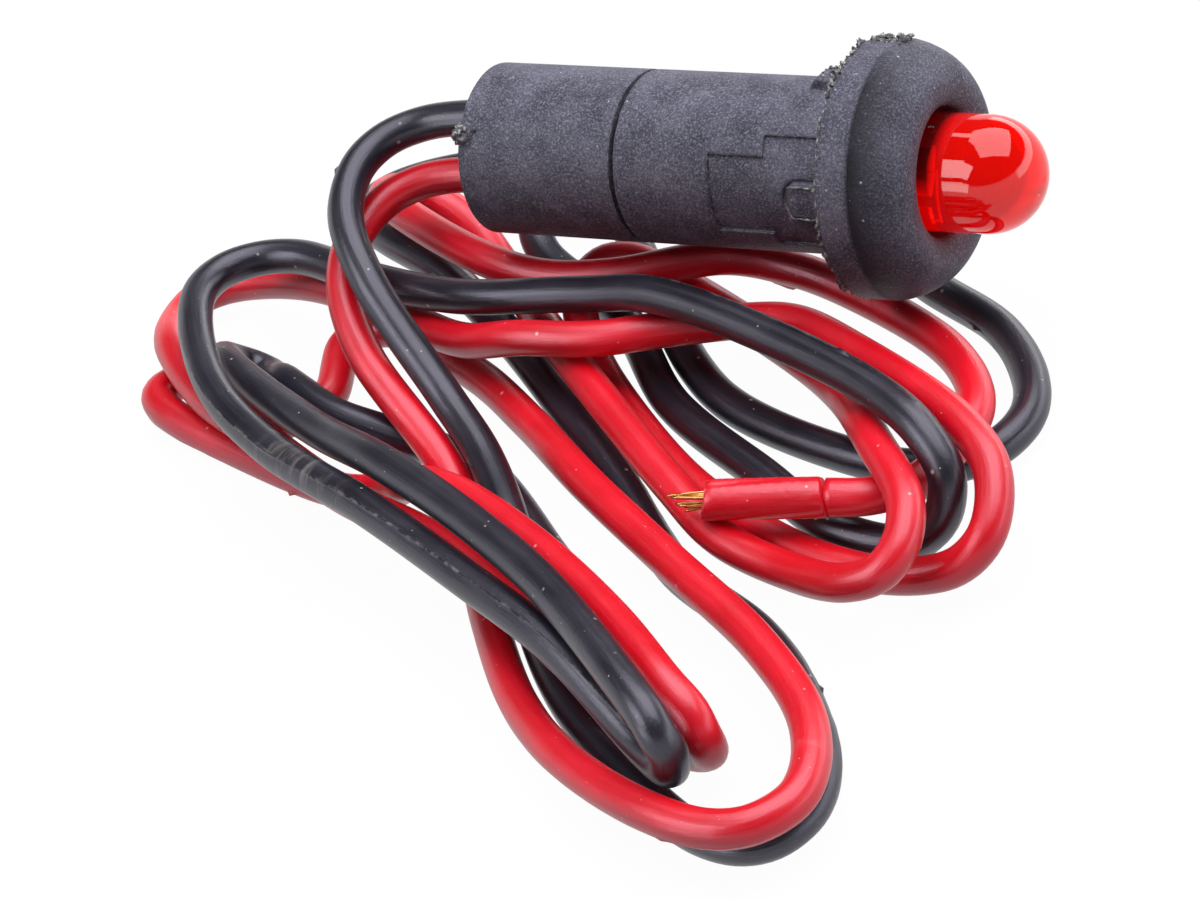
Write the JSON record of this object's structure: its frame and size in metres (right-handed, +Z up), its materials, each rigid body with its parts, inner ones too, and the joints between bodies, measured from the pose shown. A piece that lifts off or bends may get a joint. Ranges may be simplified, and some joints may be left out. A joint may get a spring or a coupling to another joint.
{
  "type": "led indicator lamp",
  "caption": "Pre-wired panel indicator: a domed black bezel and sleeve with crush lugs, a plug-in rear cap, a red LED and two long thin leads lying in a loose tangle.",
  "frame": {"origin": "on the lamp's axis, at the rear face of the flange, where the panel's front surface seats", "axes": "+X along the lamp's axis towards the lens, +Z up, the leads leave the cap towards -X and lie on the surface below"},
  "size_m": [0.048, 0.0441, 0.0145],
  "materials": {
    "housing_plastic": "fine-grained moulded black plastic with pale moulding flash",
    "red_epoxy": "glossy clear red epoxy",
    "tinned_steel": "tinned",
    "die": "semiconductor chip",
    "gold": "bright gold",
    "resistor_lacquer": "beige lacquer with colour bands",
    "solder": "satin solder",
    "shrink_sleeve": "shrunk black sleeve",
    "copper": "bare stranded copper",
    "red_pvc": "satin red wire insulation",
    "black_pvc": "satin black wire insulation"
  },
  "bodies": {
    "root": {"front_housing": "housing_plastic", "rear_cap": "housing_plastic", "led_lens": "red_epoxy", "led_cathode": "tinned_steel", "led_anode": "tinned_steel", "led_die": "die", "led_bond_wire": "gold", "resistor_body": "resistor_lacquer", "resistor_front_lead": "tinned_steel", "resistor_rear_lead": "tinned_steel", "solder_led_resistor": "solder", "solder_resistor_red": "solder", "solder_led_black": "solder", "shrink_red": "shrink_sleeve", "shrink_black": "shrink_sleeve", "red_core": "copper", "black_core": "copper", "red_lead": "red_pvc", "black_lead": "black_pvc", "red_slug": "red_pvc", "red_strands": "copper"}
  },
  "joints": []
}
